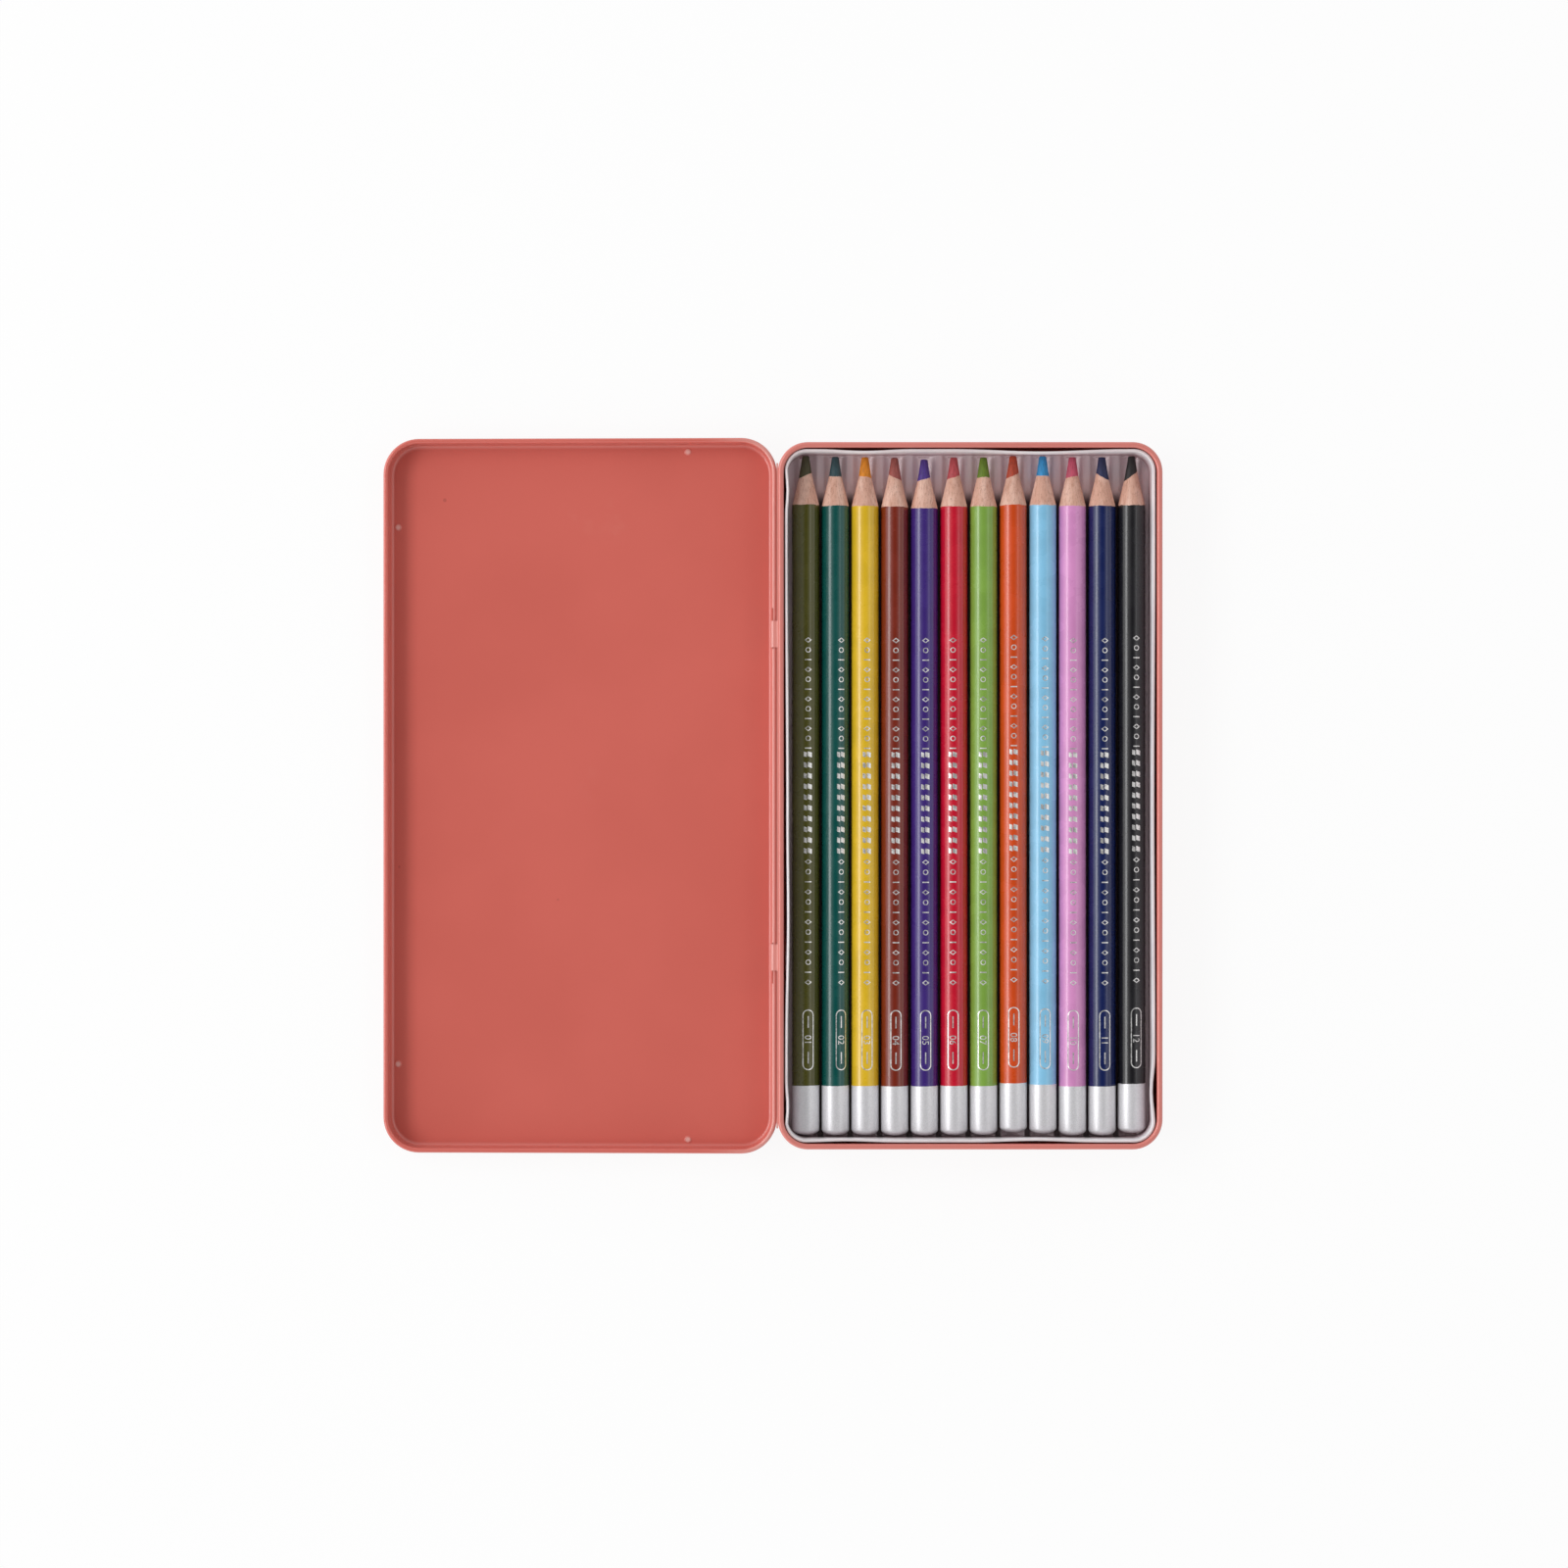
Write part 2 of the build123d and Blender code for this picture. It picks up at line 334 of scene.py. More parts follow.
def paint(tree, shader, colour, gloss=None):
    """Lead a colour into the shader, and a gloss where it changes over the surface."""
    tree.links.new(colour, shader.inputs["Base Color"])
    if gloss:
        tree.links.new(gloss, shader.inputs["Roughness"])


def scaled(colour, factor):
    """A lighter or darker form of a colour."""
    return tuple(min(1.0, v * factor) for v in colour)


print("finish helpers ready")

# %% [markdown]
# The tin is sheet steel, roller coated in a satin coral before it is drawn. Its gloss
# changes slowly over the panel, and smears of handling dull its colour in a few places.
# Round a rolled edge the lacquer is painted paler than the panel, as a painted sheen. The
# studs on the lid's inner face each get a small pale painted highlight.

# %% Tin lacquer
# The second colour is a painted sheen for rolled edges, the third a painted highlight for the
# studs.
CORAL, EDGE_SHEEN, STUD_HIGHLIGHT = linear(211, 101, 89), linear(224, 156, 147), linear(240, 190, 182)
INNER_FACE = (0.00015, 0.00025)


def tin_finish(name, edge_from, edge_to, sheen_strength, highlighted=()):
    """Coral lacquer, with a painted sheen from one height to another and painted highlights at the
    studs.
    """
    material, tree, shader = new_finish(
        name, 0.38, Coat_Weight=0.8, Coat_Roughness=0.13, Specular_IOR_Level=0.45
    )
    surface = add_group(tree, uneven, Cloud_scale=22.0, Peel_scale=1500.0)
    handled = add_group(tree, marks, Smear_scale=24.0, Speck_scale=170.0)
    smears = add_range(tree, handled["Smears"], 0, 1, 0, 0.28)
    specks = add_range(tree, handled["Specks"], 0, 1, 0, 0.3)
    toned = mix_colours(tree, surface["Cloud"], scaled(CORAL, 0.975), scaled(CORAL, 1.025))
    smeared = mix_colours(tree, smears, toned, linear(214, 128, 116))
    colour = mix_colours(tree, specks, smeared, linear(120, 46, 42))
    where = coordinates(tree)
    up = read_place(tree)["Z"]
    # Painted sheen: paler towards the top of a rolled edge, for the light it catches there.
    edge = add_range(tree, up, edge_from, edge_to, 0, sheen_strength)
    colour = mix_colours(tree, edge, colour, EDGE_SHEEN)
    inside = add_range(tree, up, *INNER_FACE)
    # Painted highlight: a pale spot on each stud of the inner face.
    for spot in highlighted:
        away = tree.nodes.new("ShaderNodeVectorMath")
        away.operation = "DISTANCE"
        away.inputs[1].default_value = spot
        tree.links.new(where, away.inputs[0])
        near = add_range(tree, away.outputs["Value"], 0.0003, 0.00095, 0.8, 0)
        shown = add_step(tree, "MULTIPLY", near, inside)
        colour = mix_colours(tree, shown, colour, STUD_HIGHLIGHT)
    paint(tree, shader, colour, add_range(tree, surface["Cloud"], 0, 1, 0.36, 0.41))
    add_bump(tree, shader, surface["Peel"], 0.000012, 0.5)
    return material


base_lacquer = tin_finish("base_lacquer", 0.0128, 0.0135, 0.35)
tongue_lacquer = tin_finish("tongue_lacquer", 0.0088, 0.0096, 0.8)
print("made", base_lacquer.name, tongue_lacquer.name)

# %% [markdown]
# The tray is a thin white sheet, softened by heat and sucked over a mould. It stays a
# little glossy, with a slow waviness where it stretched. On its inside the white is painted
# pinker towards the foot, and on the wall darker too: painted shade, with the coral of the
# tin showing through the thin sheet. On and beside the ridges between the barrels it is
# painted dark, as painted shade in the narrow gaps. Its outside stays plain white.

# %% Tray plastic
BARREL_END, RIDGE_PITCH, LAST_RIDGE = 0.0755, 0.00764, 0.0395
# Painted shade for the narrow gaps between the barrels.
GAP_SHADE = linear(84, 66, 68)


def tray_finish(name, foot_shade_colour=None, fade_from=0.0, fade_to=0.0):
    """White plastic, with painted shade towards its foot and between the barrels where a foot
    colour is given.
    """
    material, tree, shader = new_finish(name, 0.34, Specular_IOR_Level=0.5, Coat_Weight=0.1)
    surface = add_group(tree, uneven, Cloud_scale=60.0, Peel_scale=350.0)
    colour = mix_colours(tree, surface["Cloud"], linear(234, 230, 233), linear(244, 242, 244))
    if foot_shade_colour:
        place = read_place(tree)
        # Painted shade: dark on and near the ridges between the barrels, and the foot colour
        # towards the foot.
        off_ridge = add_step(tree, "PINGPONG", place["X"], RIDGE_PITCH / 2)
        ridge_shade = add_range(tree, off_ridge, 0.0005, 0.0011, 1.0, 0.2)
        covered = add_range(tree, place["Y"], BARREL_END, BARREL_END + 0.004, 1.0, 0.0)
        aside = add_step(tree, "ABSOLUTE", place["X"])
        between = add_range(tree, aside, LAST_RIDGE, LAST_RIDGE + 0.001, 1.0, 0.0)
        gap_shade = add_step(tree, "MULTIPLY", add_step(tree, "MULTIPLY", ridge_shade, covered), between)
        foot = mix_colours(tree, gap_shade, foot_shade_colour, GAP_SHADE)
        white = add_range(tree, place["Z"], fade_from, fade_to)
        colour = mix_colours(tree, white, foot, colour)
    paint(tree, shader, colour, add_range(tree, surface["Cloud"], 0, 1, 0.28, 0.4))
    add_bump(tree, shader, surface["Peel"], 0.00003, 0.6)
    return material


tray_white = tray_finish("tray_white")
# The foot colours below are painted shade, pinker near the coral tin.
deck_inside = tray_finish("deck_inside", linear(246, 226, 231), 0.0035, 0.006)
wall_inside = tray_finish("wall_inside", linear(188, 154, 160), 0.003, 0.0118)
print("made", tray_white.name, deck_inside.name, wall_inside.name)

# %% [markdown]
# The casings are cedar-like wood. Sharpening leaves a smooth cone, where the grain runs
# towards the point as fine darker lines, with short pores. The grain is a noise that is
# stretched along the pencil, so it is squeezed in Y before the texture reads it.

# %% Sharpened wood
def stretched(tree, scale):
    """Object coordinates, squeezed along the grain."""
    mapping = tree.nodes.new("ShaderNodeMapping")
    mapping.inputs["Scale"].default_value = scale
    tree.links.new(coordinates(tree), mapping.inputs["Vector"])
    return mapping.outputs["Vector"]


sharpened_wood, tree, shader = new_finish("sharpened_wood", 0.62, Specular_IOR_Level=0.3)
grain = add_noise(tree, stretched(tree, (1, 0.07, 1)), 2600.0, 5.0, 0.6)
pores = add_noise(tree, stretched(tree, (1, 0.12, 1)), 5200.0, 2.0)
bands = add_noise(tree, stretched(tree, (1, 0.2, 1)), 420.0, 2.0)
base_wood = mix_colours(
    tree, add_range(tree, bands, 0.35, 0.65), linear(216, 168, 148), linear(234, 194, 176)
)
lined = mix_colours(
    tree, add_range(tree, grain, 0.48, 0.66, 0, 0.45), base_wood, linear(176, 122, 102)
)
pored = mix_colours(
    tree, add_range(tree, pores, 0.62, 0.7, 0, 0.5), lined, linear(128, 80, 62)
)
paint(tree, shader, pored)
add_bump(tree, shader, grain, 0.00004, 0.7)
print("made", sharpened_wood.name)

# %% [markdown]
# The blunt end is dipped in silver paint, and the marks on the barrel are pressed foil.
# Both are metal: the dip has fine flakes that scatter the light, the foil is smooth.

# %% Silver dip and foil
silver_dip, tree, shader = new_finish("silver_dip", 0.42, Metallic=0.4)
flakes = tree.nodes.new("ShaderNodeTexVoronoi")
flakes.inputs["Scale"].default_value = 9000.0
tree.links.new(coordinates(tree), flakes.inputs["Vector"])
flake_tone = tree.nodes.new("ShaderNodeSeparateColor")
tree.links.new(flakes.outputs["Color"], flake_tone.inputs["Color"])
toned = mix_colours(tree, flake_tone.outputs["Red"], linear(214, 213, 216), linear(238, 237, 240))
spread = add_range(tree, flake_tone.outputs["Green"], 0, 1, 0.34, 0.5, "LINEAR")
paint(tree, shader, toned, spread)
add_bump(tree, shader, flake_tone.outputs["Blue"], 0.000004, 0.5)

foil, tree, shader = new_finish("foil", 0.3, Metallic=0.6)
surface = add_group(tree, uneven, Cloud_scale=700.0, Peel_scale=3000.0)
toned = mix_colours(tree, surface["Cloud"], linear(216, 214, 212), linear(246, 245, 243))
paint(tree, shader, toned, add_range(tree, surface["Cloud"], 0, 1, 0.22, 0.4))
print("made", silver_dip.name, foil.name)

# %% [markdown]
# Twelve barrels share one lacquer recipe and twelve pigments one core recipe. Only the
# colour changes, so two functions make them all.

# %% Barrel lacquers and pigments
COLOURS = {
    "olive": ((76, 74, 16), (76, 73, 50)),
    "teal": ((0, 78, 73), (50, 76, 82)),
    "yellow": ((225, 184, 36), (218, 134, 34)),
    "brown": ((122, 38, 20), (156, 82, 76)),
    "purple": ((60, 36, 118), (76, 52, 132)),
    "red": ((198, 14, 44), (182, 74, 80)),
    "green": ((126, 166, 68), (100, 126, 36)),
    "orange": ((208, 74, 22), (176, 68, 44)),
    "light_blue": ((134, 196, 230), (54, 142, 198)),
    "pink": ((214, 142, 196), (194, 82, 106)),
    "navy": ((14, 30, 84), (42, 48, 84)),
    "black": ((24, 23, 27), (42, 39, 40)),
}


def barrel_lacquer(name, colour):
    """Two coats of a glossy lacquer, with faint tone and peel."""
    material, tree, shader = new_finish(
        name + "_lacquer", 0.26, Coat_Weight=0.4, Coat_Roughness=0.14
    )
    surface = add_group(tree, uneven, Cloud_scale=160.0, Peel_scale=1400.0)
    base = linear(*colour)
    toned = mix_colours(tree, surface["Cloud"], scaled(base, 0.93), scaled(base, 1.06))
    paint(tree, shader, toned, add_range(tree, surface["Cloud"], 0, 1, 0.22, 0.3))
    add_bump(tree, shader, surface["Peel"], 0.000004, 0.5)
    return material


def pigment_core(name, colour):
    """Pressed pigment: matt, slightly grainy, scored along by the sharpener."""
    material, tree, shader = new_finish(name + "_pigment", 0.58, Specular_IOR_Level=0.4)
    scores = add_noise(tree, stretched(tree, (1, 0.3, 1)), 2400.0, 3.0)
    base = linear(*colour)
    toned = mix_colours(
        tree, add_range(tree, scores, 0.35, 0.65), scaled(base, 0.84), scaled(base, 1.14)
    )
    paint(tree, shader, toned, add_range(tree, scores, 0.3, 0.7, 0.48, 0.66))
    add_bump(tree, shader, scores, 0.00003, 0.6)
    return material


lacquers = {name: barrel_lacquer(name, pair[0]) for name, pair in COLOURS.items()}
pigments = {name: pigment_core(name, pair[1]) for name, pair in COLOURS.items()}
print("made", len(lacquers), "lacquers and", len(pigments), "pigments")

# %% [markdown]
# ## From a bmesh to a piece
# Pieces are modelled in millimetres, the unit of the real drawings, and brought to
# metres once, when they are finished. Then each one is shaded smooth with its hard edges
# kept and set on its body, and the solid it stands for is hidden.

# %% Finish a piece
MM = 0.001


def finish_piece(bm, name, body, finishes, replaced=(), sharp=35.0):
    """Turn a bmesh in millimetres into a piece that rides on a body."""
    bmesh.ops.scale(bm, vec=(MM, MM, MM), verts=bm.verts)
    mesh = bpy.data.meshes.new(name)
    bm.to_mesh(mesh)
    bm.free()
    for finish in finishes:
        mesh.materials.append(finish)
    mesh.shade_smooth()
    mesh.set_sharp_from_angle(angle=math.radians(sharp))
    piece = bpy.data.objects.new(name, mesh)
    bpy.context.scene.collection.objects.link(piece)
    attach(piece, body)
    if replaced:
        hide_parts(*replaced)
    print(name, len(mesh.polygons), "faces")


# %% [markdown]
# ## Drawn sheet
# Base, lid and tray are all made the same way in a factory: a sheet is pressed into a
# rounded box. Here their wall is one profile, carried once round a rounded rectangle:
# straight along each side, and spun through a quarter turn at each corner. A flat plate
# closes base and lid, the tray gets a deck instead, and each sheet gets its thickness.

# %% Carry a profile round a box
def carry_round(bm, outline, middle, half_width, half_length, corner, bends, stretch):
    """Carry a profile of (inset, height) points round a rounded rectangle."""
    begin = -(half_length - corner)
    verts = [bm.verts.new((middle + half_width - inset, begin, up)) for inset, up in outline]
    geom = verts + [bm.edges.new(pair) for pair in zip(verts, verts[1:])]
    centre_x, centre_y = half_width - corner, half_length - corner
    sides = [
        (Vector((0, 2 * centre_y, 0)), (middle + centre_x, centre_y, 0)),
        (Vector((-2 * centre_x, 0, 0)), (middle - centre_x, centre_y, 0)),
        (Vector((0, -2 * centre_y, 0)), (middle - centre_x, -centre_y, 0)),
        (Vector((2 * centre_x, 0, 0)), (middle + centre_x, -centre_y, 0)),
    ]
    for run, turn_centre in sides:
        steps = max(1, round(run.length / stretch))
        geom = bmesh.ops.spin(
            bm, geom=geom, cent=turn_centre, axis=(0, 0, 1), dvec=run / steps, angle=0, steps=steps
        )["geom_last"]
        geom = bmesh.ops.spin(
            bm, geom=geom, cent=turn_centre, axis=(0, 0, 1), angle=math.pi / 2, steps=bends
        )["geom_last"]
    bmesh.ops.remove_doubles(bm, verts=bm.verts, dist=0.001)


def close_plate(bm, height):
    """Fill the flat plate inside a wall that starts at this height."""
    rim = [
        e for e in bm.edges if e.is_boundary and all(abs(v.co.z - height) < 0.001 for v in e.verts)
    ]
    bmesh.ops.edgeloop_fill(bm, edges=rim)
    bmesh.ops.recalc_face_normals(bm, faces=bm.faces)


def thicken(bm, sheet, plate_up):
    """Give a drawn shell its sheet thickness, inwards from its outer face."""
    plate = max(bm.faces, key=lambda f: f.calc_area())
    if (plate.normal.z > 0) != plate_up:
        bmesh.ops.reverse_faces(bm, faces=bm.faces)
    bmesh.ops.solidify(bm, geom=bm.faces[:], thickness=sheet)


def arc(centre, radius, first, last, steps):
    """Points of (inset, height) on an arc, with angles in degrees from the outside."""
    points = []
    for step in range(steps + 1):
        angle = math.radians(first + (last - first) * step / steps)
        points.append((centre[0] - radius * math.cos(angle), centre[1] + radius * math.sin(angle)))
    return points


print("sheet tools ready")

# %% [markdown]
# Windows and slots are cut while the sheet is still a single skin: four planes split the
# wall, and the faces between them go. Only the wall's own faces are split, so the rest
# of the skin stays as it was.

# %% Cut windows, press pips
def skin_near(bm, low, high):
    """The faces that lie wholly within a box, with their edges and corners."""
    faces = [
        f
        for f in bm.faces
        if all(low[i] <= v.co[i] <= high[i] for v in f.verts for i in range(3))
    ]
    edges = {e for f in faces for e in f.edges}
    verts = {v for f in faces for v in f.verts}
    return [*faces, *edges, *verts]


def split_wall(bm, low, high, cuts):
    """Split the faces of a flat wall at planes of (axis, place)."""
    for axis, place in cuts:
        normal = [0.0, 0.0, 0.0]
        normal[axis] = 1.0
        spot = [n * place for n in normal]
        near = skin_near(bm, low, high)
        bmesh.ops.bisect_plane(bm, geom=near, dist=0.0005, plane_co=spot, plane_no=normal)


def cut_window(bm, low, high, y_range, z_range):
    """Cut a rectangular window into the wall that lies between two corners of a box."""
    split_wall(bm, low, high, [(1, y) for y in y_range] + [(2, z) for z in z_range])
    gone = []
    for face in bm.faces:
        middle = face.calc_center_median()
        if low[0] <= middle.x <= high[0] and y_range[0] < middle.y < y_range[1]:
            if z_range[0] < middle.z < z_range[1]:
                gone.append(face)
    bmesh.ops.delete(bm, geom=gone, context="FACES")


def window_sides(middle, half):
    """The two Y places that bound a window."""
    return sorted(middle + s * half for s in (-1, 1))


def press_pip(bm, spot, inward, half_long, half_high, depth, low, high):
    """Press a round-topped pip into a flat wall, at a spot on it."""
    along = 1 if abs(inward[0]) > 0.5 else 0
    share = [step / 6 for step in range(-6, 7)]
    cuts = [(along, spot[along] + half_long * s) for s in share]
    cuts += [(2, spot[2] + half_high * s) for s in share]
    split_wall(bm, low, high, [cuts[0], cuts[12]])
    near_low, near_high = list(low), list(high)
    near_low[along] = spot[along] - half_long - 0.01
    near_high[along] = spot[along] + half_long + 0.01
    split_wall(bm, near_low, near_high, cuts)
    for vert in bm.verts:
        if all(low[i] <= vert.co[i] <= high[i] for i in range(3)):
            away = math.hypot(
                (vert.co[along] - spot[along]) / half_long, (vert.co.z - spot[2]) / half_high
            )
            if away < 1:
                vert.co += Vector(inward) * depth * (1 - away**2) ** 1.5


print("window and pip tools ready")

# %% [markdown]
# ## The base
# The pan is drawn from steel 0.28 mm thick. Its edge is rolled inwards, so no cut edge
# shows. Two windows stay in the rear wall where the hinge tongues were cut from it. A
# step longer than any side keeps each straight side in one piece.

# %% Base pan
SHEET = 0.28
CORNER_BENDS, ONE_STEP = 14, 1e3
base_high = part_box("base")[1] / MM
base_width, base_length, base_height = 2 * base_high.x, 2 * base_high.y, base_high.z
BASE_ROLL, BASE_CORNER, BASE_FOOT = 0.75, 7.7, 1.5
hinge = next(j for j in frame["joints"] if j["name"] == "lid_hinge")
hinge_x, _, hinge_z = (v / MM for v in hinge["pos_m"])
TONGUE_WIDTH, TONGUE_MIDDLE = 6.8, 41.5
WINDOW_TOP, WINDOW_FOOT, WINDOW_GAP = hinge_z + 2.4, hinge_z - 3.15, 0.15

roll_centre = (BASE_ROLL, base_height - BASE_ROLL)
pan_line = arc((BASE_FOOT, BASE_FOOT), BASE_FOOT, -90, 0, 6)
pan_line += arc(roll_centre, BASE_ROLL, 0, 320, 18)
bm = bmesh.new()
carry_round(
    bm, pan_line, 0, base_width / 2, base_length / 2, BASE_CORNER, CORNER_BENDS, ONE_STEP
)
close_plate(bm, 0)
rear_low = (-base_width / 2 - 0.01, -base_length, BASE_FOOT - 0.01)
rear_high = (-base_width / 2 + 0.01, base_length, base_height)
for side in (-1, 1):
    edges_y = window_sides(side * TONGUE_MIDDLE, TONGUE_WIDTH / 2 + WINDOW_GAP)
    cut_window(bm, rear_low, rear_high, edges_y, (WINDOW_FOOT, WINDOW_TOP))
thicken(bm, SHEET, plate_up=False)
finish_piece(bm, "base_pan", "base", [base_lacquer], ["base"])

# %% [markdown]
# ## The tongues
# Each hinge tongue is a strip of the rear wall that bends out over the lid's rolled edge
# and curls round it: the rolled edge is the hinge pin. One line across the strip is
# carried down, spun through the bend, carried out, and spun round the hinge line.

# %% Hinge tongues
LID_ROLL, TONGUE_PLAY, BEND, CURL_TURN, OVERLAP = 0.625, 0.15, 0.45, 200, 0.3
CURL = LID_ROLL + TONGUE_PLAY + SHEET / 2
bm = bmesh.new()
for side in (-1, 1):
    wall_x = -base_width / 2 + SHEET / 2
    ends = [side * TONGUE_MIDDLE - TONGUE_WIDTH / 2, side * TONGUE_MIDDLE + TONGUE_WIDTH / 2]
    verts = [bm.verts.new((wall_x, y, WINDOW_TOP + OVERLAP)) for y in ends]
    geom = verts + [bm.edges.new(verts)]
    bend_z = hinge_z + CURL + BEND
    moves = [
        ((0, 0, bend_z - WINDOW_TOP - OVERLAP), 0, 1, (0, 0, 0)),
        ((0, 0, 0), 90, 5, (wall_x - BEND, 0, bend_z)),
        ((hinge_x - wall_x + BEND, 0, 0), 0, 1, (0, 0, 0)),
        ((0, 0, 0), -CURL_TURN, 16, (hinge_x, 0, hinge_z)),
    ]
    for shift, degrees, steps, centre in moves:
        geom = bmesh.ops.spin(
            bm, geom=geom, cent=centre, axis=(0, 1, 0), dvec=shift,
            angle=math.radians(degrees), steps=steps,
        )["geom_last"]
bmesh.ops.remove_doubles(bm, verts=bm.verts, dist=0.001)
bmesh.ops.recalc_face_normals(bm, faces=bm.faces)
for vert in bm.verts:
    vert.normal_update()
    vert.co -= vert.normal * SHEET / 2
bmesh.ops.solidify(bm, geom=bm.faces[:], thickness=-SHEET)
finish_piece(bm, "hinge_tongues", "base", [tongue_lacquer])

# %% [markdown]
# ## The lid
# The lid is a shallower pan, drawn upside down over the base, and its edge rolls
# outwards. It is built where it lies on the closed tin, and then swung open about the
# hinge line by the joint's own angle, so it can't end up anywhere but on its hinge. The
# slots run through the wall and on through the roll, so the tongues can pass.

# %% Lid
SEAT_GAP, SIDE_GAP, END_GAP = 0.2, 0.25, 0.2
closed_height = base_height + SEAT_GAP + SHEET
lid_half_width = base_width / 2 + SIDE_GAP + 2 * LID_ROLL
lid_half_length = base_length / 2 + END_GAP + 2 * LID_ROLL
LID_MIDDLE, LID_CORNER, LID_SHOULDER = -0.05, 9.15, 1.4
SLOT_MIDDLE, SLOT_WIDTH, SLOT_HEIGHT = 43.0, 10.4, 2.6
lid_rear = LID_MIDDLE - lid_half_width
lid_front = LID_MIDDLE + lid_half_width

lid_wall = 2 * LID_ROLL - SHEET
lid_line = arc((lid_wall + LID_SHOULDER, closed_height - LID_SHOULDER), LID_SHOULDER, 90, 0, 6)
lid_line += arc((LID_ROLL, hinge_z), LID_ROLL - SHEET, 180, 490, 18)
bm = bmesh.new()
carry_round(
    bm, lid_line, LID_MIDDLE, lid_half_width, lid_half_length, LID_CORNER, CORNER_BENDS, ONE_STEP
)
close_plate(bm, closed_height)
wall_z = (hinge_z - 0.001, closed_height - LID_SHOULDER + 0.001)
wall_rear, wall_front = lid_rear + lid_wall, lid_front - lid_wall
wall_end = lid_half_length - lid_wall
rear = ((wall_rear - 0.01, -wall_end, wall_z[0]), (wall_rear + 0.01, wall_end, wall_z[1]))
roll = ((hinge_x + 0.1, -wall_end, hinge_z - 0.5), (wall_rear + 0.01, wall_end, hinge_z))
for side in (-1, 1):
    edges_y = window_sides(side * SLOT_MIDDLE, SLOT_WIDTH / 2)
    cut_window(bm, *rear, edges_y, (hinge_z, hinge_z + SLOT_HEIGHT))
    cut_window(bm, *roll, edges_y, (hinge_z - 0.5, hinge_z - 0.08))
print("lid skin", len(bm.faces), "faces")

# %% [markdown]
# Four pips in the lid's wall grip the base, two in front and one at each end. They are
# pressed while the sheet is a single skin. The four studs on the panel, near the pips,
# are low domes that rise from the inner face.

# %% Pips and studs
PIP_LONG, PIP_HIGH, PIP_DEPTH, PIP_DROP = 1.0, 0.5, 0.17, 0.55
PIP_SPREAD, PIP_FROM_REAR = 69.0, 22.5
STUD_RADIUS, STUD_HEIGHT, STUD_INSET = 0.95, 0.15, 3.1
STUD_SPREAD, STUD_FROM_REAR = 69.5, 23.1
pip_size = (PIP_LONG, PIP_HIGH, PIP_DEPTH)
pip_z = closed_height - LID_SHOULDER - PIP_DROP
stud_z = closed_height - SHEET
front = ((wall_front - 0.01, -wall_end, wall_z[0]), (wall_front + 0.01, wall_end, wall_z[1]))
studs = []
for side in (-1, 1):
    press_pip(bm, (wall_front, side * PIP_SPREAD, pip_z), (-1, 0, 0), *pip_size, *front)
    end_y = side * wall_end
    end = ((wall_rear, end_y - 0.01, wall_z[0]), (wall_front, end_y + 0.01, wall_z[1]))
    press_pip(bm, (lid_rear + PIP_FROM_REAR, end_y, pip_z), (0, -side, 0), *pip_size, *end)
    stud_y = side * (lid_half_length - STUD_INSET)
    studs.append(Vector((lid_front - STUD_INSET, side * STUD_SPREAD, stud_z)))
    studs.append(Vector((lid_rear + STUD_FROM_REAR, stud_y, stud_z)))
thicken(bm, SHEET, plate_up=True)
for stud in studs:
    size = Matrix.Diagonal((STUD_RADIUS, STUD_RADIUS, STUD_HEIGHT, 1))
    bmesh.ops.create_uvsphere(
        bm, u_segments=28, v_segments=12, radius=1.0, matrix=Matrix.Translation(stud) @ size
    )
print("pips and studs", len(studs))

# %% [markdown]
# The lid swings open. Inside its roll, the faces near the hinge line that look inwards
# get a dark finish of their own: painted shade, for no light gets inside the roll.

# %% Swing the lid open
ROLL_SHADE = linear(46, 26, 26)
opening = math.radians(-hinge["range_deg"][0])
swing = Matrix.Rotation(opening, 3, hinge["axis"])
hinge_place = Vector((hinge_x, 0, hinge_z))
bmesh.ops.rotate(bm, cent=hinge_place, matrix=swing, verts=bm.verts)
# Where the studs lie once the lid is open, for their painted highlights.
highlighted = [(swing @ (stud - hinge_place) + hinge_place) * MM for stud in studs]
edge_top = (hinge_z + LID_ROLL) * MM
lid_lacquer = tin_finish("lid_lacquer", edge_top - 0.0007, edge_top, 0.85, highlighted)
# Painted shade for the inside of the roll.
roll_painted_shade, tree, shader = new_finish("roll_painted_shade", 0.6)
shader.inputs["Base Color"].default_value = (*ROLL_SHADE, 1)
for face in bm.faces:
    middle = face.calc_center_median()
    if math.hypot(middle.x - hinge_x, middle.z - hinge_z) < LID_ROLL - SHEET + 0.02:
        face.material_index = 1
finishes = [lid_lacquer, roll_painted_shade]
finish_piece(bm, "lid_shell", "lid", finishes, ["lid"])
print("rubbed places", [tuple(round(v, 4) for v in spot) for spot in highlighted])

# %% [markdown]
# ## The tray
# The tray's wall is so thin that it bows in and out along the tin, which shows as the
# wavy white line inside the rim. Its profile is carried round in short steps, and each
# side then gets its own bows, which fade towards the foot, where the deck holds the wall.
# The wall stands upright beside the barrels, so the outer two stay clear of its corners.

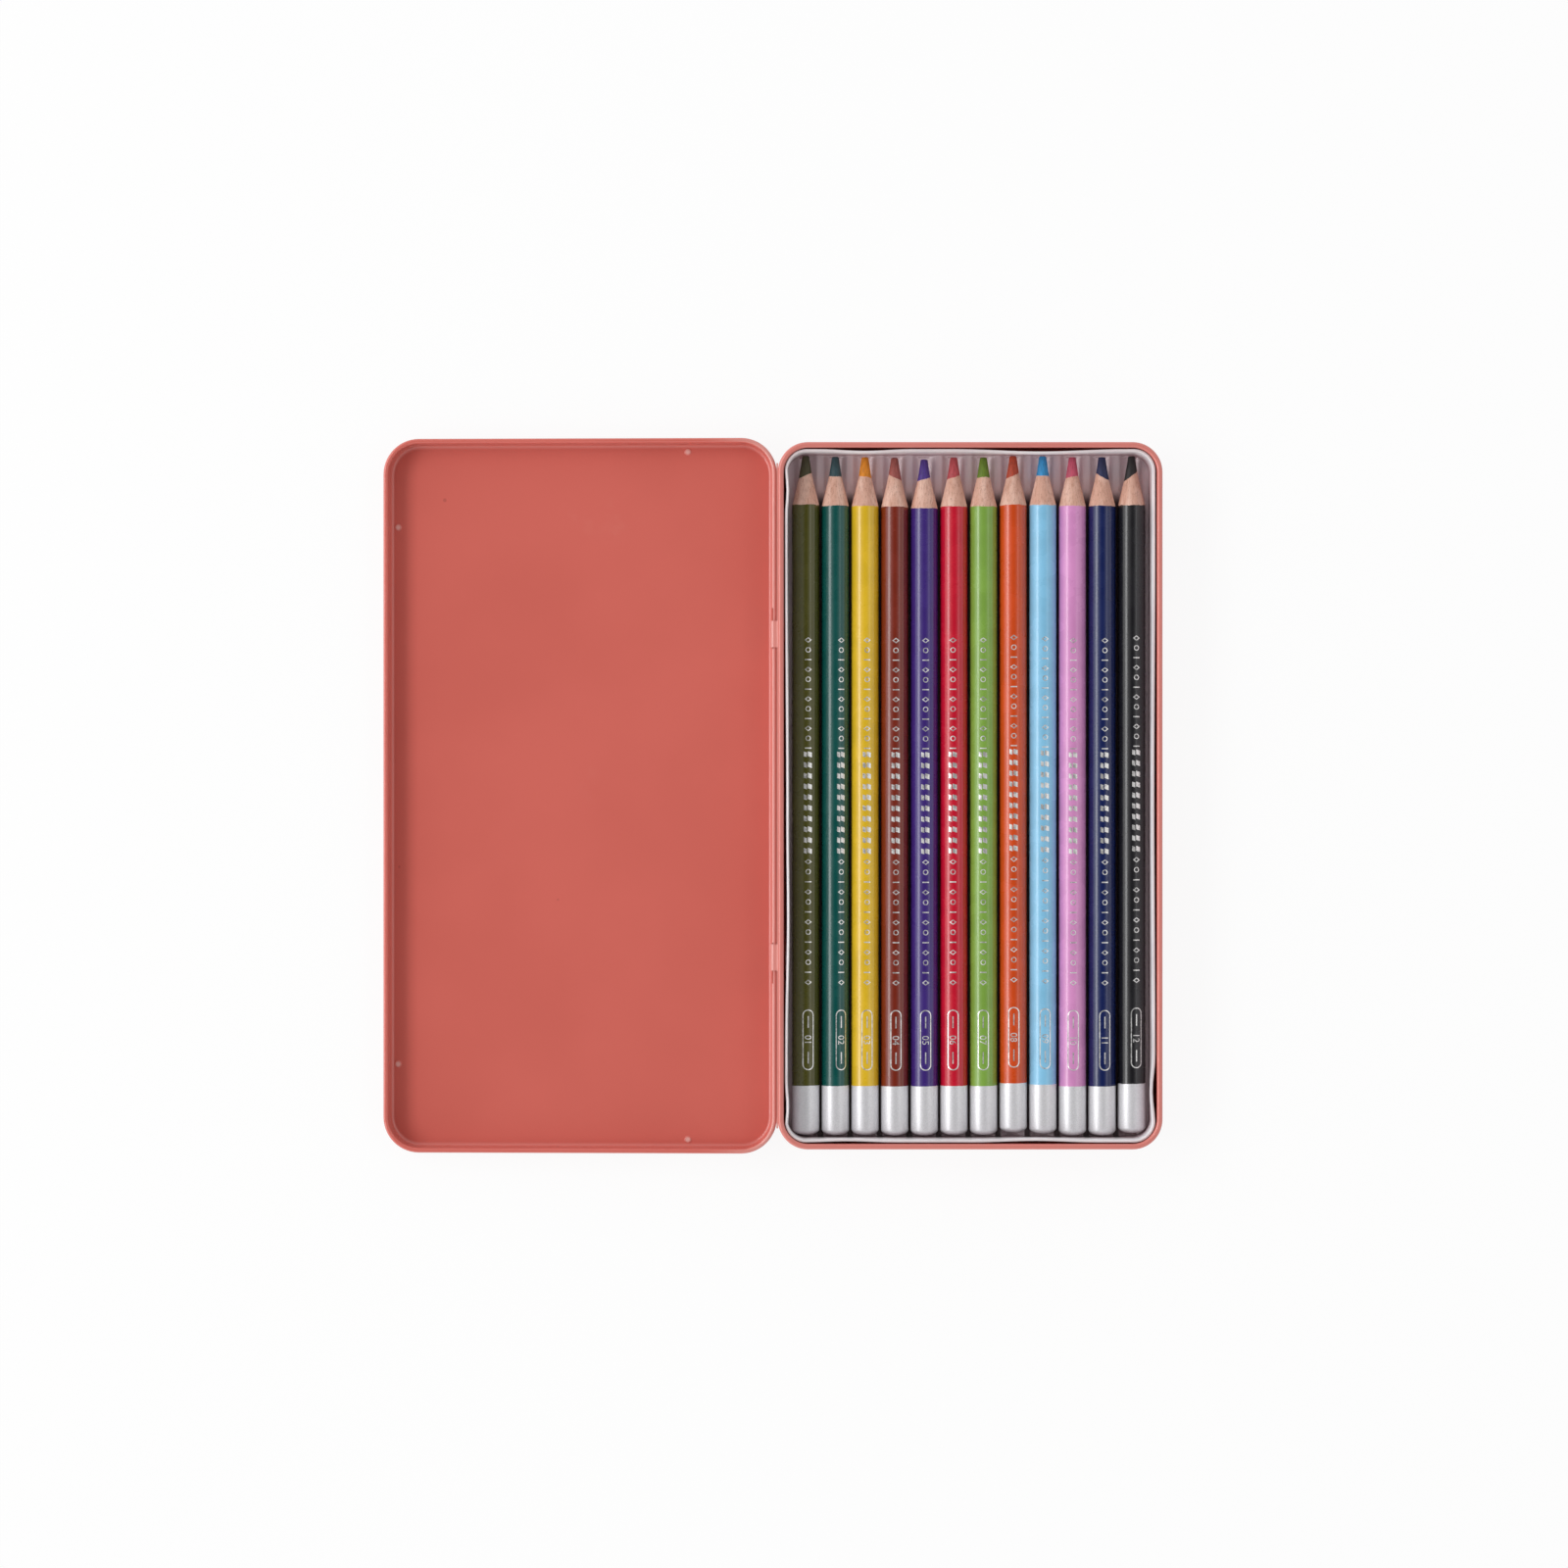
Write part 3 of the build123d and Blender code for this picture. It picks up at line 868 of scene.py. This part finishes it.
# %% Tray wall
TRAY_SHEET, TRAY_CORNER, TRAY_BENDS, TRAY_STEP = 0.5, 5.5, 10, 2.5
BOWED_FROM_END, WHITE_RIM = 5.4, 0.3
tray_low, tray_high = (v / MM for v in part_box("tray"))
tray_half_width, tray_half_length = tray_high.x, tray_high.y
tray_top, tray_foot = tray_high.z, tray_low.z
BOWS = {
    "right": [(0, 0.3, 68), (-75.5, 0.7, 9)],
    "left": [(-6, 0.35, 70), (78, 0.4, 6), (-35, 0.3, 28), (-79.5, 0.4, 6)],
    "tips": [(-27, 0.45, 12), (18, 0.6, 22)],
    "ends": [(-31.5, 0.3, 13), (16.5, 0.4, 16)],
}


def bow_depth(side, place):
    """How far a side's top edge stands in from straight, at a place along it."""
    depth = 0.0
    for middle, deep, reach in BOWS[side]:
        away = abs(place - middle) / reach
        if away < 1:
            depth += deep * (1 + math.cos(math.pi * away)) / 2
    return depth


wall_line = [(1.2, tray_foot + 0.25), (0.75, tray_foot + 0.3), (0.33, tray_foot + 0.6)]
wall_line += [(0.2, tray_foot + 3), (0.2, tray_foot + 6), (0.22, tray_foot + 9)]
wall_line += [(0.24, tray_top - 0.9), (0.2, tray_top - 0.45), (0.08, tray_top - 0.15)]
wall_line += [(0.0, tray_top)]
bm = bmesh.new()
carry_round(
    bm, wall_line, 0, tray_half_width, tray_half_length, TRAY_CORNER, TRAY_BENDS, TRAY_STEP
)
for vert in bm.verts:
    lift = max(0.0, (vert.co.z - tray_foot) / (tray_top - tray_foot)) ** 1.5
    x, y = vert.co.x, vert.co.y
    if abs(y) < tray_half_length - BOWED_FROM_END:
        side = "right" if x > 0 else "left"
        vert.co.x -= math.copysign(bow_depth(side, y) * lift, x)
    if abs(x) < tray_half_width - BOWED_FROM_END:
        side = "tips" if y > 0 else "ends"
        vert.co.y -= math.copysign(bow_depth(side, x) * lift, y)
bmesh.ops.recalc_face_normals(bm, faces=bm.faces)
front_face = max(bm.faces, key=lambda f: f.calc_center_median().x)
if front_face.normal.x < 0:
    bmesh.ops.reverse_faces(bm, faces=bm.faces)
bmesh.ops.solidify(bm, geom=bm.faces[:], thickness=TRAY_SHEET)
bm.normal_update()
for face in bm.faces:
    middle = face.calc_center_median()
    inwards = face.normal.x * middle.x + face.normal.y * middle.y < 0
    face.material_index = 1 if inwards or middle.z > tray_top - WHITE_RIM else 0
finish_piece(bm, "tray_wall", "tray", [tray_white, wall_inside], ["tray"], 50)

# %% [markdown]
# The deck has a round groove for each pencil. A rounded plate is split into strips by
# planes, the strips' corners are lifted to the groove's section, and at both ends the
# deck sweeps up a little into the wall.

# %% Tray deck
PITCH, PENCIL_AXIS, GROOVE, GROOVE_HALF = 7.64, 4.48, 3.7, 2.95
RIDGE_TOP, RIDGE_DROP = tray_foot + 1.855, 0.12
DECK_SHEET, DECK_INSET, DECK_CORNER, SWEEP = 0.38, 1.1, 4.9, 1.5
names = list(COLOURS)
row_half = PITCH * len(names) / 2


def deck_height(x):
    """Height of the deck's upper face at a place across the row."""
    off = (x + row_half) % PITCH - PITCH / 2
    if abs(x) > row_half - 0.4:
        return RIDGE_TOP
    if abs(off) > GROOVE_HALF:
        return RIDGE_TOP - RIDGE_DROP * ((PITCH / 2 - abs(off)) / (PITCH / 2 - GROOVE_HALF)) ** 2
    return min(RIDGE_TOP - RIDGE_DROP, PENCIL_AXIS - math.sqrt(GROOVE**2 - off**2))


def split_all(bm, spot, normal):
    """Split every face of a mesh at a plane."""
    everything = [*bm.verts, *bm.edges, *bm.faces]
    bmesh.ops.bisect_plane(bm, geom=everything, plane_co=spot, plane_no=normal)


bm = bmesh.new()
bmesh.ops.create_grid(bm, x_segments=1, y_segments=1, size=0.5)
deck_size = (2 * tray_half_width - DECK_INSET, 2 * tray_half_length - DECK_INSET, 1)
bmesh.ops.scale(bm, vec=deck_size, verts=bm.verts)
bmesh.ops.bevel(
    bm, geom=bm.verts[:], offset=DECK_CORNER, offset_type="OFFSET", segments=8, profile=0.5,
    affect="VERTICES", material=-1,
)
OFFSETS = [-3.82, -3.5, -3.2, -2.95, -2.6, -2.1, -1.4, -0.7, 0, 0.7, 1.4, 2.1, 2.6, 2.95, 3.2, 3.5]
END_CUTS = (0.25, 0.5, 0.8, 1.1, 1.5)
middles = [(i + 0.5) * PITCH - row_half for i in range(len(names))]
cuts = [(middle + off, (1, 0, 0)) for middle in middles for off in OFFSETS]
cuts += [(row_half, (1, 0, 0))]
cuts += [(side * (deck_size[1] / 2 - d), (0, 1, 0)) for side in (-1, 1) for d in END_CUTS]
for place, normal in cuts:
    split_all(bm, [place * n for n in normal], normal)
for vert in bm.verts:
    from_end = deck_size[1] / 2 - abs(vert.co.y)
    sweep_up = 0.0
    if from_end < SWEEP:
        sweep_up = SWEEP - math.sqrt(max(0.0, SWEEP**2 - (SWEEP - from_end) ** 2))
    vert.co.z = max(deck_height(vert.co.x), tray_foot + 0.4 + sweep_up)
bmesh.ops.recalc_face_normals(bm, faces=bm.faces)
if sum(f.normal.z for f in bm.faces) < 0:
    bmesh.ops.reverse_faces(bm, faces=bm.faces)
bmesh.ops.solidify(bm, geom=bm.faces[:], thickness=DECK_SHEET)
bm.normal_update()
for face in bm.faces:
    face.material_index = 1 if face.normal.z > 0.05 else 0
finish_piece(bm, "tray_deck", "tray", [tray_white, deck_inside])

# %% [markdown]
# ## The pencils
# A pencil is turned: one half profile, spun once round its axis. The casing has three
# finishes along its length, the silver dip, the lacquer and the bare wood of the cone.
# Paint never ends in a perfect ring, so each ring where a finish ends is moved a little
# along the barrel, the same way every time, from a fixed noise.

# %% Turn a casing
CASING_RADIUS, LACQUER_RADIUS, CORE_RADIUS, POINT_RADIUS = 3.55, 3.53, 1.65, 0.88
DIP_LENGTH, WOOD_SHOWN, CORE_SHOWN, CROWN = 12.85, 7.6, 5.15, 1.5
TURNS = 72


def pencil_place(name):
    """The place of a pencil across the row."""
    return (names.index(name) - (len(names) - 1) / 2) * PITCH


def ring_wave(name, angle, amount, seed):
    """A small shift along the barrel, that comes back to itself after a turn."""
    spot = Vector((math.cos(angle) * 1.7, math.sin(angle) * 1.7, names.index(name) * 3.1 + seed))
    fine = Vector((math.cos(angle) * 6, math.sin(angle) * 6, names.index(name) * 5.3 + seed))
    return amount * (noise.noise(spot) + 0.6 * noise.noise(fine))


def spin_pencil(bm, line, x, foot):
    """Spin a half profile of (distance, radius) round the pencil's axis."""
    verts = [bm.verts.new((x, foot + along, PENCIL_AXIS + radius)) for along, radius in line]
    geom = verts + [bm.edges.new(pair) for pair in zip(verts, verts[1:])]
    bmesh.ops.spin(
        bm, geom=geom, cent=(x, 0, PENCIL_AXIS), axis=(0, 1, 0), dvec=(0, 0, 0),
        angle=2 * math.pi, steps=TURNS, use_merge=True,
    )
    bmesh.ops.remove_doubles(bm, verts=bm.verts, dist=0.0005)
    bmesh.ops.recalc_face_normals(bm, faces=bm.faces)


def cone_radius(along, wood_end):
    """Radius of the sharpened cone, over wood and core, at a distance from the foot."""
    if along < wood_end:
        return CORE_RADIUS + (CASING_RADIUS - CORE_RADIUS) * (wood_end - along) / WOOD_SHOWN
    return CORE_RADIUS - (CORE_RADIUS - POINT_RADIUS) * (along - wood_end) / CORE_SHOWN


def slant_ring(bm, name, x, foot, along, slant, wave, seed, wood_end=None):
    """Move one ring of vertices along the barrel, and keep it on the cone where there is one."""
    for vert in bm.verts:
        if abs(vert.co.y - foot - along) < 0.0005:
            across, up = vert.co.x - x, vert.co.z - PENCIL_AXIS
            radius = math.hypot(across, up)
            if radius < 0.01:
                continue
            angle = math.atan2(across, up)
            moved = slant * math.sin(angle) + ring_wave(name, angle, wave, seed)
            vert.co.y += moved
            if wood_end is not None:
                share = cone_radius(along + moved, wood_end) / radius
                vert.co.x, vert.co.z = x + across * share, PENCIL_AXIS + up * share


# Colour name: slid towards the tips, longer or shorter, slant of the core's edge, and
# roll of the print in degrees
PENCILS = {
    "olive": (0.05, 0.3, -0.10, 10), "teal": (0.0, 0.1, 0.0, 25),
    "yellow": (0.0, 0.0, 0.03, 8), "brown": (-0.1, -0.1, 0.11, 4),
    "purple": (-0.1, -0.5, -0.07, 4), "red": (0.0, -0.1, -0.08, -6),
    "green": (0.0, -0.1, 0.0, -4), "orange": (0.7, -0.4, -0.11, 0),
    "light_blue": (0.35, -0.1, 0.0, 7), "pink": (-0.1, 0.1, -0.05, 0),
    "navy": (-0.1, 0.1, 0.14, 8), "black": (0.55, -0.3, -0.18, 16),
}
PENCIL_LENGTH, PENCIL_FOOT = 174.8, -87.5
SLANT_PER_OFF = -7.0
DOME_TURN, EDGE_WAVE, CORE_SEED = 12.857, 0.16, 5.0


def make_pencil(name):
    """The casing with its three finishes, and the core that shows at its end."""
    slid, longer, off, _ = PENCILS[name]
    x = pencil_place(name)
    foot = PENCIL_FOOT + slid
    length = PENCIL_LENGTH + longer
    wood_end = length - CORE_SHOWN
    paint_end = wood_end - WOOD_SHOWN
    dome = [math.radians(DOME_TURN * step) for step in range(8)]
    line = [(CROWN * (1 - math.cos(a)), CASING_RADIUS * math.sin(a)) for a in dome]
    line += [(DIP_LENGTH - 0.15, CASING_RADIUS), (DIP_LENGTH, CASING_RADIUS - 0.005)]
    line += [(DIP_LENGTH + 0.08, LACQUER_RADIUS), (paint_end - 0.25, LACQUER_RADIUS)]
    line += [(paint_end, LACQUER_RADIUS - 0.03)]
    for share in (0.02, 0.25, 0.5, 0.75):
        wood = CASING_RADIUS - share * (CASING_RADIUS - CORE_RADIUS)
        line.append((paint_end + share * WOOD_SHOWN, wood - 0.04 * (1 - share)))
    line += [(wood_end, CORE_RADIUS), (wood_end - 0.4, 0.0)]
    bm = bmesh.new()
    spin_pencil(bm, line, x, foot)
    for face in bm.faces:
        along = face.calc_center_median().y - foot
        face.material_index = 0 if along > DIP_LENGTH else 1
        if along > paint_end:
            face.material_index = 2
    slant_ring(bm, name, x, foot, paint_end, 0.0, EDGE_WAVE, 2.0)
    slant_ring(bm, name, x, foot, DIP_LENGTH, 0.04, 0.05, 9.0)
    core_edge = (wood_end, off * SLANT_PER_OFF, EDGE_WAVE, CORE_SEED, wood_end)
    slant_ring(bm, name, x, foot, *core_edge)
    finishes = [lacquers[name], silver_dip, sharpened_wood]
    body, casing, core = name + "_pencil", name + "_casing", name + "_core"
    finish_piece(bm, name + "_barrel", body, finishes, [casing], 40)

    tip = [(wood_end - 2.0, 0.0), (wood_end - 2.0, CORE_RADIUS - 0.35), (wood_end, CORE_RADIUS)]
    for share in (0.45, 0.95):
        along = wood_end + share * CORE_SHOWN
        tip.append((along, cone_radius(along, wood_end)))
    tip += [(length - 0.06, POINT_RADIUS - 0.1), (length, POINT_RADIUS - 0.26), (length, 0.0)]
    bm = bmesh.new()
    spin_pencil(bm, tip, x, foot)
    slant_ring(bm, name, x, foot, *core_edge)
    finish_piece(bm, name + "_point", body, [pigments[name]], [core], 50)


for name in names:
    make_pencil(name)

# %% [markdown]
# ## The print
# The barrels carry a line of silver marks: small open lozenges, rings and dashes, a bolder
# run of slanted dashes in the middle, and the number of the colour in a frame. They are
# laid out flat, as on the foil, with the number as text, and then wrapped round the
# barrel. Split lines along the barrel let the flat shapes bend.

# %% Flat shapes of the print
FOIL_BASE, FOIL_TOP = LACQUER_RADIUS - 0.004, LACQUER_RADIUS + 0.016


def leave_stroke(bm, faces, stroke):
    """Keep only a frame along the edge of a flat shape."""
    bmesh.ops.inset_region(
        bm, faces=faces, thickness=stroke, use_boundary=True, use_even_offset=True
    )
    bmesh.ops.delete(bm, geom=faces, context="FACES")


def outline_shape(bm, corners, radius, squeeze, place, stroke):
    """A ring of few corners, as wide as its stroke."""
    made = bmesh.ops.create_circle(bm, cap_ends=True, radius=radius, segments=corners)
    verts = made["verts"]
    faces = list({f for v in verts for f in v.link_faces})
    bmesh.ops.scale(bm, vec=(1, squeeze, 1), verts=verts)
    bmesh.ops.translate(bm, vec=(*place, 0), verts=verts)
    leave_stroke(bm, faces, stroke)


def dash(bm, place, size, lean, rounding=0.0, stroke=0.0):
    """A plain or framed dash, leaned over like slanted type."""
    made = bmesh.ops.create_grid(bm, x_segments=1, y_segments=1, size=0.5)
    verts = made["verts"]
    bmesh.ops.scale(bm, vec=(*size, 1), verts=verts)
    if rounding:
        verts = bmesh.ops.bevel(
            bm, geom=verts, offset=rounding, offset_type="OFFSET", segments=5, profile=0.5,
            affect="VERTICES", material=-1,
        )["verts"]
    faces = list({f for v in verts for f in v.link_faces})
    verts = list({v for f in faces for v in f.verts})
    for vert in verts:
        vert.co.y += lean * vert.co.x
    bmesh.ops.translate(bm, vec=(*place, 0), verts=verts)
    if stroke:
        leave_stroke(bm, faces, stroke)


def number_shape(bm, words, height, place):
    """A number as flat faces, reading towards the blunt end."""
    curve = bpy.data.curves.new("number", "FONT")
    curve.body = words
    curve.size = height / 0.7
    curve.align_x = "CENTER"
    curve.resolution_u = 3
    shown = bpy.data.objects.new("number", curve)
    bpy.context.scene.collection.objects.link(shown)
    bpy.context.view_layer.update()
    flat = bpy.data.meshes.new_from_object(shown)
    bpy.data.objects.remove(shown)
    before = set(bm.verts)
    bm.from_mesh(flat)
    bpy.data.meshes.remove(flat)
    verts = [v for v in bm.verts if v not in before]
    bmesh.ops.translate(bm, vec=(0, -height / 2, 0), verts=verts)
    turn = Matrix.Rotation(math.radians(-90), 3, "Z")
    bmesh.ops.rotate(bm, cent=(0, 0, 0), matrix=turn, verts=verts)
    bmesh.ops.translate(bm, vec=(*place, 0), verts=verts)


print("print shapes ready")

# %% Print on each barrel
THIN_RUN, BOLD_RUN, LAST_RUN = (40.0, 12.2), (10.6, -14.2), (-17.0, -48.0)
FRAME_RUN, FRAME_WIDE, NUMBER_HIGH, BAR_OFF = (-55.0, -70.6), 3.0, 1.75, 4.6
MARK_PITCH, MARK_STROKE, BOLD_MARKS, BOLD_LEAN, SPLIT_STEP = 2.62, 0.24, 10, -0.3, 0.3


def make_print(name):
    """Lay the marks out flat, give them their thickness and wrap them round a barrel."""
    slid, _, _, roll = PENCILS[name]
    centre_x = pencil_place(name)
    number = names.index(name) + 1
    bm = bmesh.new()
    for first, last in (THIN_RUN, LAST_RUN):
        count = round((first - last) / MARK_PITCH)
        for step in range(count + 1):
            place = first + (last - first) * step / count
            if step % 3 == 1:
                outline_shape(bm, 12, 0.72, 1.0, (0, place), MARK_STROKE)
            elif step % 3 == 2:
                dash(bm, (0, place), (1.7, 0.3), 0.0)
            else:
                outline_shape(bm, 4, 0.95, 0.75, (0, place), MARK_STROKE)
    for step in range(BOLD_MARKS):
        place = BOLD_RUN[0] + (BOLD_RUN[1] - BOLD_RUN[0]) * step / (BOLD_MARKS - 1)
        dash(bm, (0.45, place), (1.1, 1.25), BOLD_LEAN)
        dash(bm, (-0.75, place), (0.8, 1.25), BOLD_LEAN)
    frame_middle = (FRAME_RUN[0] + FRAME_RUN[1]) / 2
    frame_long = FRAME_RUN[0] - FRAME_RUN[1]
    dash(bm, (0, frame_middle), (FRAME_WIDE, frame_long), 0.0, rounding=1.45, stroke=0.28)
    number_shape(bm, format(number, "02d"), NUMBER_HIGH, (0, frame_middle))
    dash(bm, (0, frame_middle + BAR_OFF), (0.3, 3.0), 0.0)
    dash(bm, (0, frame_middle - BAR_OFF), (0.3, 3.0), 0.0)
    for step in range(-5, 6):
        split_all(bm, (step * SPLIT_STEP, 0, 0), (1, 0, 0))
    bmesh.ops.recalc_face_normals(bm, faces=bm.faces)
    for face in bm.faces:
        if face.normal.z < 0:
            face.normal_flip()
    bmesh.ops.solidify(bm, geom=bm.faces[:], thickness=FOIL_TOP - FOIL_BASE)
    top = max(v.co.z for v in bm.verts)
    for vert in bm.verts:
        radius = FOIL_TOP + (vert.co.z - top)
        angle = vert.co.x / LACQUER_RADIUS + math.radians(roll)
        vert.co.x = centre_x + radius * math.sin(angle)
        vert.co.z = PENCIL_AXIS + radius * math.cos(angle)
        vert.co.y += slid
    finish_piece(bm, name + "_print", name + "_pencil", [foil])


for name in names:
    make_print(name)
